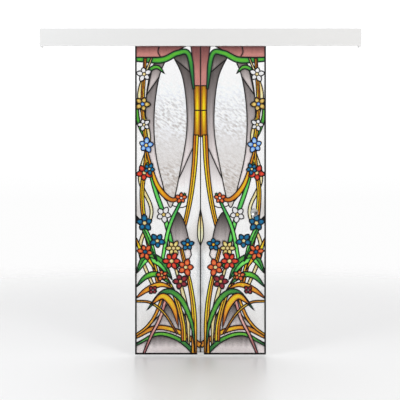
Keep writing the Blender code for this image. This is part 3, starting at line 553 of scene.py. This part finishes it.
# The outlines are cut through each other into triangles. Each triangle on the ground, whose two halves are
# pieces 0 and 1, belongs to the latest piece over it.
cartoon, faces = [], []
for _, outline, _ in cut:
    outline = outline if signed_area(outline) > 0 else outline[::-1]
    faces.append(list(range(len(cartoon), len(cartoon) + len(outline))))
    cartoon += [Vector(point) for point in outline]
cartoon, _, triangles, _, _, covers = delaunay_2d_cdt(cartoon, [], faces, 1, SAME_POINT)
cartoon = np.array([tuple(point) for point in cartoon])
inside = [number for number, over in enumerate(covers) if min(over) < 2]
slips = outlines_of([triangles[number] for number in inside], [max(covers[number]) for number in inside])


def even_steps(loop, step):
    """The same outline with further points, so that no side is longer than a step."""
    after = np.roll(loop, -1, axis=0)
    parts = np.ceil(np.hypot(*(after - loop).T) / step).astype(int)
    index = np.repeat(np.arange(len(loop)), parts)
    share_of = np.concatenate([np.arange(count) / count for count in parts])[:, None]
    return loop[index] * (1 - share_of) + after[index] * share_of


def from_outline(points, loop):
    """Each point's distance to the nearest side of a loop."""
    sides = np.roll(loop, -1, axis=0) - loop
    nearest = np.full(len(points), np.inf)
    for point, side in zip(loop, sides):
        part = np.clip((points - point) @ side / (side @ side), 0, 1)[:, None]
        nearest = np.minimum(nearest, np.hypot(*(points - point - part * side).T))
    return nearest


def grid_inside(loop, step):
    """Points of a triangular grid that lie inside the loop, at least half a step from its outline."""
    low, high = loop.min(axis=0), loop.max(axis=0)
    rows = np.arange(low[1], high[1], step * math.sqrt(3) / 2)
    columns = np.arange(low[0] - step / 2, high[0], step)
    across_rows = columns + (step / 2 * (np.arange(len(rows)) % 2))[:, None]
    grid = np.column_stack([across_rows.ravel(), np.repeat(rows, len(columns))])
    grid = grid[turns_round(loop, grid) > 0]
    return grid[from_outline(grid, loop) > step / 2]


def value_noise(points, seed):
    """Smooth noise from 0 to 1: a hash at each whole point, blended by 3t^2 - 2t^3 between them."""
    whole = np.floor(points)
    part = points - whole
    part = part * part * (3 - 2 * part)

    def hashed(shift):
        """A number from 0 to 1 for each whole point: the loose digits of a large sine."""
        value = np.sin((whole + shift) @ HASH_STEP + seed) * HASH_SCALE
        return value - np.floor(value)

    low = hashed((0, 0)) * (1 - part[:, 0]) + hashed((1, 0)) * part[:, 0]
    high = hashed((0, 1)) * (1 - part[:, 0]) + hashed((1, 1)) * part[:, 0]
    return low * (1 - part[:, 1]) + high * part[:, 1]


def ripple(points, sheet):
    """Wave of the glass from 0 to 1, and how strong it is.

    In the lights it is made of short slanting dashes, which gather in two bands: e^-(d^2), with d the
    distance from a band's middle over its width. Elsewhere the glass has only a faint broad wave.
    """
    if sheet != RIPPLED:
        return value_noise(points / BROAD_WAVE, seed=3.0), np.full(len(points), FAINT)
    x, y = points.T
    level, steep = DASH_LEAN
    leaning = np.column_stack([level * x - steep * y, steep * x + level * y])
    dash = value_noise(leaning / DASH, seed=5.0)
    drift = value_noise(points / DRIFT, seed=2.0)
    bands = sum(np.exp(-(((y - middle) / width) ** 2)) for middle, width in RIPPLE_BANDS)
    return dash, np.clip(CALM + bands * (0.35 + drift), 0, 1)


def own_length(slip):
    """For points of a slip, the share of its greatest length, counted upwards or away from the middle."""
    middle = slip.mean(axis=0)
    away = slip - middle
    axis = np.linalg.svd(away, full_matrices=False)[2][0]
    heading = axis[1] if abs(axis[1]) > UPRIGHT else axis[0] * np.sign(middle[0])
    run = away @ axis * np.sign(heading)
    return (run - run.min()) / np.ptp(run)


def nearest_on(path, points):
    """For each point, the share of the path's length at the nearest place on it, and its distance."""
    step = np.diff(path, axis=0)
    away = points[:, None] - path[None, :-1]
    on = np.clip((away * step).sum(axis=2) / (step**2).sum(axis=1), 0, 1)
    reach = np.hypot(*np.moveaxis(away - on[..., None] * step, 2, 0))
    nearest = reach.argmin(axis=1)
    run = runs(path)
    return run[nearest] + on[np.arange(len(points)), nearest] * np.diff(run)[nearest], reach.min(axis=1)


def tone_of_light(points, up, past_painted_shade):
    """A light goes from a cool head to a warm foot, with painted light and shade following its ripples and
    painted shade beside the lead.
    """
    wave, strength = ripple(points, RIPPLED)
    tone = 1.15 * up + DASH_PAINTED_LIGHT_SHADE * (wave - 0.5) * strength - 0.10 * (1 - past_painted_shade)
    return tone, 1 - DASH_PAINTED_SHADE * np.clip(0.55 - wave, 0, 1) * strength


def tone_of_ground(mirrored, past_painted_shade):
    """The clear ground is cloudy, with grey wisps along its middle by e^-(share of their width)^2, and
    painted shade beside the lead.
    """
    x, y = mirrored.T
    tone = 0.10 + CLOUD_TONE * value_noise(mirrored / CLOUD, seed=4.0)
    strip = np.exp(-((x / STRIP_HALF) ** 2)) * np.clip((STRIP_TOP - y) / STRIP_END, 0, 1)
    wisp = value_noise(mirrored / STRIP_WISP, seed=8.0)
    return tone, 0.94 + 0.06 * past_painted_shade - strip * (0.08 + 0.20 * wisp)


def tone_of_field(mirrored, up, past_painted_shade):
    """A shaded field goes from a dark head to a pale foot, through upright wisps, with painted shade beside
    the lead.
    """
    wisp = value_noise(mirrored / FIELD_WISP, seed=7.0)
    return (1.4 * (1 - up) ** 0.9 + WISP_TONE * (wisp - 0.5)) * (0.62 + 0.38 * past_painted_shade)


def tone_of_colour(points, label, past_painted_shade):
    """A slip of colour is darkened by painted shade beside the lead, and brightens along its own length.

    It is brightest in the middle of the stem or petal it belongs to, by the cosine of the share of the
    path. The column's two panes are brightest where they meet, and along their own middle.
    """
    glass, _, path = cut[label]
    at, reach = nearest_on(path, points)
    if glass == "column":
        return (1.02 - COLUMN_FALL * at**1.4) * np.clip(1.12 - 2.4 * reach / COLUMN_WIDTH, 0, 1)
    own = own_length(points)
    # Every second piece runs the other way, so that neighbours differ
    if label % 4 > 1:
        own = 1 - own
    glow = 0.5 + 0.5 * np.cos(2 * math.pi * (at - 0.5))
    return (0.30 + LENGTH_TONE * own + MIDDLE_TONE * glow) * (0.20 + 0.80 * past_painted_shade)


def graded(points, inward, label, sheet):
    """Colour at each point of a slip, from how far inward of the lead it lies, with painted shade in a band
    beside the lead.
    """
    glass, outline, path = cut[label]
    dark, bright = np.array(TONES[glass], float)
    shaded = max(0.001, min(PAINTED_SHADE_WIDTH, PAINTED_SHADE_SHARE * inward.max() - PAINTED_SHADE_START))
    # Painted shade: each slip darkens over a band beside the lead, by how far inward of it a point lies
    past_painted_shade = np.clip((inward - PAINTED_SHADE_START) / shaded, 0, 1)
    low, high = outline[:, 1].min(), outline[:, 1].max()
    up = (points[:, 1] - low) / (high - low)
    mirrored = np.column_stack([np.abs(points[:, 0]), points[:, 1]])
    # Painted shade of the ripples and beside the lead, and on the ground also its grey wisps, darken the
    # colour
    painted_shade_and_wisps = 1.0
    if sheet == RIPPLED:
        tone, painted_shade_and_wisps = tone_of_light(points, up, past_painted_shade)
    elif glass == "clear":
        tone, painted_shade_and_wisps = tone_of_ground(mirrored, past_painted_shade)
    elif path is None:
        tone = tone_of_field(mirrored, up, past_painted_shade)
    else:
        tone = tone_of_colour(points, label, past_painted_shade)
    shown = dark + (bright - dark) * np.clip(tone, 0, 1)[:, None]
    return np.clip(linear(shown * np.reshape(painted_shade_and_wisps, (-1, 1))) * GLASS_GAIN, 0, 1)


def slip_mesh(points, triangles, sheet):
    """Front and back of a slip from the same triangles, and a wall along its outline."""
    loops = [loop for _, loop in outlines_of(triangles, [1] * len(triangles))]
    edge = np.unique(np.concatenate(loops))
    height, strength = ripple(points, sheet)
    wave = WAVE_HEIGHT * height * strength
    wave[edge] = 0
    front = np.column_stack([points[:, 0], PANE_LOW.y + wave, points[:, 1] + FIELD_FOOT])
    back = front.copy()
    back[:, 1] = PANE_HIGH.y
    size = len(points)
    faces = [*triangles, *((a + size, c + size, b + size) for a, b, c in triangles)]
    for loop in loops:
        faces += [(b, a, a + size, b + size) for a, b in zip(loop, loop[1:] + loop[:1])]
    return np.vstack([front, back]), faces


def merged(parts):
    """One mesh from many: their points in a row, and each one's faces moved on to its own points."""
    starts = np.cumsum([0] + [len(points) for points, _ in parts]).tolist()
    faces = []
    for start, (_, part_faces) in zip(starts, parts):
        faces += [[corner + start for corner in face] for face in part_faces]
    return np.vstack([points for points, _ in parts]), faces


sheets = {name: ([], []) for name in (RIPPLED, GROUND, COLOURED)}
for label, loop in slips:
    if label == HOLE:
        continue
    sheet = SHEETS.get(cut[label][0], COLOURED)
    for slip in inset(cartoon[loop], HEART_OF_LEAD):
        if signed_area(slip) < SMALLEST_SLIP:
            continue
        rim = even_steps(slip, POINT_STEP[sheet])
        spots = [Vector(spot) for spot in (*rim, *grid_inside(rim, POINT_STEP[sheet]))]
        ends = [(i, (i + 1) % len(rim)) for i in range(len(rim))]
        placed, _, triangles, *_ = delaunay_2d_cdt(spots, ends, [], 1, SAME_GRID_POINT)
        placed = np.array([tuple(spot) for spot in placed])
        tint_with_painted_shade = graded(placed, from_outline(placed, slip), label, sheet)
        parts, tints = sheets[sheet]
        parts.append(slip_mesh(placed, [tuple(corners) for corners in triangles], sheet))
        tints += [tint_with_painted_shade, tint_with_painted_shade]


# Streaks darken the glass to this share of its colour
STREAK_SHADE = 0.93


def stained(name, transmission, roughness, spread, raised):
    """Glass that takes its colour from the piece's own tint, which holds painted shade beside the lead and
    on the ripples, with streaks and a faint wave in its skin.
    """
    made = finish(name, Transmission_Weight=transmission, Roughness=roughness, IOR=1.5)
    tree = made.node_tree
    streak = noise_on(tree, spread, detail=3.0)
    tint_with_painted_shade = tree.nodes.new("ShaderNodeAttribute")
    tint_with_painted_shade.attribute_name = "tint_with_painted_shade"
    darkened = tree.nodes.new("ShaderNodeVectorMath")
    darkened.operation = "SCALE"
    tree.links.new(tint_with_painted_shade.outputs["Color"], darkened.inputs[0])
    tree.links.new(ranged(tree, streak, *NOISE_SPAN, STREAK_SHADE, 1.0), darkened.inputs["Scale"])
    tree.links.new(darkened.outputs["Vector"], tree.nodes["Principled BSDF"].inputs["Base Color"])
    relief(tree, streak, raised)
    return made


GLASS_FINISHES = {
    RIPPLED: stained("rippled_glass", 0.84, 0.10, (0.012, 0.012, 0.008), 0.0002),
    GROUND: stained("wispy_glass", 0.90, 0.12, (0.020, 0.020, 0.120), 0.0002),
    COLOURED: stained("streaky_glass", 0.74, 0.12, (0.006, 0.006, 0.060), 0.0002),
}
for name, (parts, tints) in sheets.items():
    piece = new_mesh(name, *merged(parts), smooth_angle=40)
    colours = np.vstack(tints)
    tint_with_painted_shade = piece.data.color_attributes.new("tint_with_painted_shade", "FLOAT_COLOR", "POINT")
    tint_with_painted_shade.data.foreach_set("color", np.column_stack([colours, np.ones(len(colours))]).ravel())
    piece.data.materials.append(GLASS_FINISHES[name])
    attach(piece, "door")
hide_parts("glass_pane")


# Lead cames
# Strips of lead run between the slips on both faces, half round, and finer between petals, strands and
# leaf halves. A flat border frames them, and solder floods each place where strips meet. All of it is
# blackened.

# A fine came is lower too, by this share
CAME_HEIGHT, FINE_SHARE = 0.0017, 0.8
# A limit on the mitre of a sharp bend, and how far a strip may cut a curve's corners
BEND_LIMIT, SAG = 0.35, 0.0003
ROUND_STEPS = 6
SHOULDER = 0.0012
SOLDER_RADIUS, SOLDER_HEIGHT, SOLDER_SIDES = 0.0040, 0.0021, 10
CLEAR_OF_PULL = PULL_RADIUS + 0.0010
CORNERS = ((-1, -1), (1, -1), (1, 1), (-1, 1))
LEAD = grained(
    finish("blackened_lead", Metallic=0.0, Specular_IOR_Level=0.20),
    ((0.002, 0.002, 0.002), (0.008, 0.007, 0.007)), (0.40, 0.65), (0.006, 0.006, 0.006), 0.0002,
)


def thin(points, sag):
    """The fewest points of a line that stay within sag of it."""
    run = points[-1] - points[0]
    away = points - points[0]
    length = math.hypot(*run)
    if length > sag:
        off = abs(away[:, 0] * run[1] - away[:, 1] * run[0]) / length
    else:
        off = np.hypot(away[:, 0], away[:, 1])
    furthest = int(off.argmax())
    if off[furthest] <= sag:
        return points[[0, -1]]
    return np.vstack([thin(points[: furthest + 1], sag)[:-1], thin(points[furthest:], sag)])


def strips_between_joints(slips):
    """Runs of shared outline from joint to joint, and whether each lies within a blossom, stem or leaf."""
    near, owners = {}, {}
    for label, loop in slips:
        for a, b in zip(loop, loop[1:] + loop[:1]):
            near.setdefault(a, set()).add(b)
            near.setdefault(b, set()).add(a)
            owners.setdefault((min(a, b), max(a, b)), []).append(label)
    joints = sorted(point for point, others in near.items() if len(others) != 2)
    found, used = [], set()
    for joint in joints:
        for first in sorted(near[joint]):
            if (joint, first) in used:
                continue
            run = [joint, first]
            while len(near[run[-1]]) == 2:
                run.append(next(point for point in near[run[-1]] if point != run[-2]))
            used |= {(run[0], run[1]), (run[-1], run[-2])}
            pair = owners[min(run[:2]), max(run[:2])]
            if HOLE in pair:
                continue
            fine = tuple(sorted(pair)) in side_by_side or FIRST_PETAL <= min(pair) < HOLE
            found.append((run, len(pair) == 2 and fine))
    return found, joints


def lofted(rings, wrapped=False, capped=True, flipped=False):
    """A skin over rings of points, each joined to the next.

    Wrapped, the last ring joins the first. Otherwise the first and last may be capped.
    """
    count, row = rings.shape[:2]
    ring, step = np.divmod(np.arange((count if wrapped else count - 1) * row), row)
    after, beside = (ring + 1) % count, (step + 1) % row
    corners = [ring * row + step, ring * row + beside, after * row + beside, after * row + step]
    faces = np.column_stack(corners).tolist()
    if capped and not wrapped:
        faces += [list(range(row))[::-1], list(range((count - 1) * row, count * row))]
    return rings.reshape(-1, 3), [face[::-1] for face in faces] if flipped else faces


def came(path, width, height, face_y, outward):
    """A half-round strip along a path: across it, cos a times half the width; out of the glass, sin a."""
    forward = np.diff(path, axis=0)
    forward /= np.hypot(forward[:, 0], forward[:, 1])[:, None]
    before = np.vstack([forward[:1], forward])
    after = np.vstack([forward, forward[-1:]])
    lean = (before * after).sum(axis=1)[:, None]
    sideways = np.column_stack([-(before + after)[:, 1], (before + after)[:, 0]])
    sideways /= np.maximum(1 + lean, BEND_LIMIT)
    angle = np.linspace(0, math.pi, ROUND_STEPS + 1)
    flat = path[:, None] + sideways[:, None] * (np.cos(angle) * width / 2)[None, :, None]
    out = face_y + outward * height * np.broadcast_to(np.sin(angle), flat.shape[:2])
    rings = np.stack([flat[..., 0], out, flat[..., 1] + FIELD_FOOT], axis=2)
    return lofted(rings, flipped=outward > 0)


def beside_pull(path):
    """Cuts off the end of a path that would run on under the pull's flange."""
    away = np.hypot(*(path - HOLE_SPOT).T)
    if away.min() >= CLEAR_OF_PULL:
        return path
    if away[0] < away[-1]:
        path, away = path[::-1], away[::-1]
    first = int(np.argmax(away < CLEAR_OF_PULL))
    if first == 0:
        return path[:0]
    part = (away[first - 1] - CLEAR_OF_PULL) / (away[first - 1] - away[first])
    return np.vstack([path[:first], path[first - 1] + part * (path[first] - path[first - 1])])


def solder(spot, face_y, outward):
    """A low dome over a joint: rings at cos a times the radius and sin a times the height."""
    angle = np.array([0, 0.5, 1.0])
    flat = spot + SOLDER_RADIUS * np.cos(angle)[:, None, None] * circle(SOLDER_SIDES)[None]
    out = face_y + outward * SOLDER_HEIGHT * np.broadcast_to(np.sin(angle)[:, None], flat.shape[:2])
    rings = np.stack([flat[..., 0], out, flat[..., 1] + FIELD_FOOT], axis=2)
    return lofted(rings, flipped=outward > 0)


def border(face_y, outward):
    """The flat frame of lead: a section with rounded shoulders, carried round the four corners."""
    half_edge = [(0, 0), (0, 0.6), (SHOULDER / 2, 0.9), (SHOULDER, 1)]
    other_edge = [(BORDER_WIDTH - inward, rise) for inward, rise in half_edge[::-1]]
    inward, rise = np.array(half_edge + other_edge).T
    corners = np.array(CORNERS)
    x = corners[:, :1] * (LEAD_HIGH.x - inward)
    y = face_y + outward * CAME_HEIGHT * np.broadcast_to(rise, x.shape)
    z = np.where(corners[:, 1:] > 0, LEAD_HIGH.z - inward, LEAD_LOW.z + inward)
    return lofted(np.stack([x, y, z], axis=2), wrapped=True, flipped=outward < 0)


strips, joints = strips_between_joints(slips)


def leadwork(name, node, face_y, outward):
    """Border, strips and solder of one face of the sheet, in one piece."""
    parts = [border(face_y, outward)]
    for run, fine in strips:
        path = beside_pull(cartoon[run])
        if len(path) < 2:
            continue
        width = FINE_CAME_WIDTH if fine else CAME_WIDTH
        height = CAME_HEIGHT * (FINE_SHARE if fine else 1.0)
        parts.append(came(thin(path, SAG), width, height, face_y, outward))
    for joint in joints:
        if np.hypot(*(cartoon[joint] - HOLE_SPOT)) > CLEAR_OF_PULL + SOLDER_RADIUS:
            parts.append(solder(cartoon[joint], face_y, outward))
    piece = new_mesh(name, *merged(parts), smooth_angle=60)
    piece.data.materials.append(LEAD)
    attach(piece, "door")
    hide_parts(node)


leadwork("cames_front", "lead_front", PANE_LOW.y, -1)
leadwork("cames_back", "lead_back", PANE_HIGH.y, 1)


# Clear margin of the sheet
# The sheet runs on a little past the leadwork, and further at its head, where the clamps grip it.
# Its edges are ground to a narrow arris.

ARRIS = 0.0008


def margin():
    """A ring between the field's rectangle and the sheet's edge, its section carried round the corners."""
    edge = (PANE_HIGH.x, PANE_LOW.z, PANE_HIGH.z)
    eased = (PANE_HIGH.x - ARRIS, PANE_LOW.z + ARRIS, PANE_HIGH.z - ARRIS)
    field = (FIELD_HALF, FIELD_FOOT, FIELD_FOOT + FIELD_HEIGHT)
    front, back = PANE_LOW.y, PANE_HIGH.y
    section = (
        (eased, front), (edge, front + ARRIS), (edge, back - ARRIS), (eased, back),
        (field, back), (field, front),
    )
    rings = [
        [(side * half, depth, head if end > 0 else foot) for (half, foot, head), depth in section]
        for side, end in CORNERS
    ]
    return lofted(np.array(rings), wrapped=True)


margin_piece = new_mesh("glass_margin", *margin())
margin_piece.data.materials.append(
    grained(
        finish("clear_glass", Base_Color=(0.86, 0.93, 0.90, 1), Transmission_Weight=0.9, IOR=1.5),
        ((0.84, 0.92, 0.89), (0.88, 0.94, 0.92)), (0.03, 0.08), (0.05, 0.05, 0.05), 0.0001,
    )
)
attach(margin_piece, "door")


# Round pull
# Two turned and dished halves meet inside a hole through the sheet, and a thin flange lies on each face.
# They are turned from steel and finished satin.

TURN_SIDES = 72


def turned(name, profile, centre):
    """A profile of (radius, y) pairs spun round a line along Y, on which its two ends lie."""
    radius, depth = np.array(profile[1:-1], float).T
    flat = centre + radius[:, None, None] * circle(TURN_SIDES)
    deep = np.broadcast_to(depth[:, None], flat.shape[:2])
    points, faces = lofted(np.stack([flat[..., 0], deep, flat[..., 1]], axis=2), capped=False)
    start, end = len(points), len(points) + 1
    last_ring = start - TURN_SIDES
    for here in range(TURN_SIDES):
        after = (here + 1) % TURN_SIDES
        faces += [(start, after, here), (end, last_ring + here, last_ring + after)]
    poles = [(centre[0], y, centre[1]) for y in (profile[0][1], profile[-1][1])]
    return new_mesh(name, np.vstack([points, poles]), faces, smooth_angle=30)


SATIN_STEEL = grained(
    finish("satin_steel", Metallic=1.0),
    ((0.52, 0.52, 0.515), (0.60, 0.60, 0.595)), (0.14, 0.22), (0.0016, 0.0016, 0.0016), 0.00002,
)
BODY_RADIUS, DISH_RADIUS, RIM_ROUND = 0.0215, 0.0205, 0.0012
SEAT_GAP, FLOOR_THICK = 0.0003, 0.0010
RIM_STEPS, DISH_STEPS = 5, 12
for name, sign in (("pull_front", -1), ("pull_back", 1)):
    low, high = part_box(name)
    inner, outer, pane = (high.y, low.y, PANE_LOW.y) if sign < 0 else (low.y, high.y, PANE_HIGH.y)
    seat = pane + sign * SEAT_GAP
    deep = abs(outer - inner) - FLOOR_THICK
    profile = [(0, inner), (BODY_RADIUS, inner), (BODY_RADIUS, seat), (PULL_RADIUS, seat)]
    for angle in np.linspace(0, math.pi / 2, RIM_STEPS):
        in_by, down_by = RIM_ROUND * (1 - math.cos(angle)), RIM_ROUND * (1 - math.sin(angle))
        profile.append((PULL_RADIUS - in_by, outer - sign * down_by))
    # The dish is a parabola, deepest in the middle
    for part in np.linspace(1, 0, DISH_STEPS + 1):
        profile.append((DISH_RADIUS * part, outer - sign * deep * (1 - part**2)))
    piece = turned(name + "_turned", profile if sign < 0 else profile[::-1], PULL_CENTRE)
    piece.data.materials.append(SATIN_STEEL)
    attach(piece, "door")
    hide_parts(name)


# Rail, its cover and the end caps
# Extruded aluminium, brushed along its length and anodised pale. The cover hides the rail, the hangers
# and the wheels, and an end cap closes each end of it.

def dress(material, *starts):
    """Gives a material to each CAD node whose name begins so. A later call overrides an earlier one."""
    for name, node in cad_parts.items():
        if name.startswith(starts):
            for held in node.material_slots:
                held.material = material


BRUSHED = grained(
    finish("brushed_aluminium", Metallic=0.85),
    ((0.80, 0.80, 0.79), (0.90, 0.90, 0.89)), (0.30, 0.42), (0.30, 0.003, 0.0012), 0.00004,
)
PALE_COVER = grained(
    finish("pale_anodised_cover", Metallic=0.0, Specular_IOR_Level=0.3),
    ((0.81, 0.81, 0.805), (0.85, 0.85, 0.845)), (0.52, 0.62), (0.30, 0.003, 0.0012), 0.00003,
)
PALE_CAP = grained(
    finish("pale_moulded_cap", Metallic=0.0),
    ((0.86, 0.86, 0.855), (0.90, 0.90, 0.895)), (0.35, 0.45), (0.004, 0.004, 0.004), 0.00003,
)
# The cover's foot is turned back to the glass, and a painted highlight runs as a light line along its bend
FOOT_HIGHLIGHT, HIGHLIGHT_BLUR = 0.005, 0.1
PAINTED_HIGHLIGHT = (0.93, 0.93, 0.925)
cover_tree = PALE_COVER.node_tree
cover_tone = cover_tree.nodes["Principled BSDF"].inputs["Base Color"]
upright = cover_tree.nodes.new("ShaderNodeSeparateXYZ")
cover_tree.links.new(cover_tree.nodes["Texture Coordinate"].outputs["Object"], upright.inputs["Vector"])
# Painted highlight: the colour turns light over the lowest few millimetres of the cover
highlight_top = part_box("rail_cover")[0].z + FOOT_HIGHLIGHT
span = (highlight_top - HIGHLIGHT_BLUR * FOOT_HIGHLIGHT, highlight_top)
highlighted = blended(cover_tree, upright.outputs["Z"], span, PAINTED_HIGHLIGHT, cover_tone.links[0].from_socket)
cover_tree.links.new(highlighted, cover_tone)
dress(BRUSHED, "rail")
dress(PALE_COVER, "rail_cover")
dress(PALE_CAP, "end_cap")


# Hangers, clamps, bolts, axles and end stops
# Pressed and turned steel under bright zinc, with its faint spangle and cloudy reflections. Each hanger and
# its plate grip the head of the sheet by two bolts, and each hanger carries two wheels on axles.

ZINC = grained(
    finish("zinc_plate", Metallic=1.0),
    ((0.50, 0.50, 0.51), (0.66, 0.66, 0.65)), (0.28, 0.45), (0.006, 0.006, 0.006), 0.00003,
)
dress(ZINC, "hanger", "clamp_plate", "clamp_bolt", "axle", "end_stop")


# Wheels
# Grooved rollers turned from grey nylon. Each runs on its own axle and rides on the rail's bead.

NYLON = grained(
    finish("grey_nylon", Metallic=0.0),
    ((0.24, 0.24, 0.25), (0.34, 0.34, 0.35)), (0.40, 0.55), (0.002, 0.002, 0.002), 0.00005,
)
dress(NYLON, "wheel")


# Buffers and clamp pads
# Black rubber, dull, with a fine pitted skin. A buffer sits on each end stop, and a pad lies between the
# glass and each jaw of a clamp.

RUBBER = grained(
    finish("black_rubber", Metallic=0.0),
    ((0.014, 0.014, 0.014), (0.030, 0.030, 0.030)), (0.65, 0.85), (0.0015, 0.0015, 0.0015), 0.0001,
)
dress(RUBBER, "buffer", "clamp_pad")


# Floor guide
# One moulded channel of pale plastic, screwed to the floor, which keeps the foot of the sheet in line.

PALE = grained(
    finish("pale_plastic", Metallic=0.0),
    ((0.78, 0.78, 0.77), (0.86, 0.86, 0.85)), (0.30, 0.42), (0.003, 0.003, 0.003), 0.00005,
)
dress(PALE, "floor_guide")
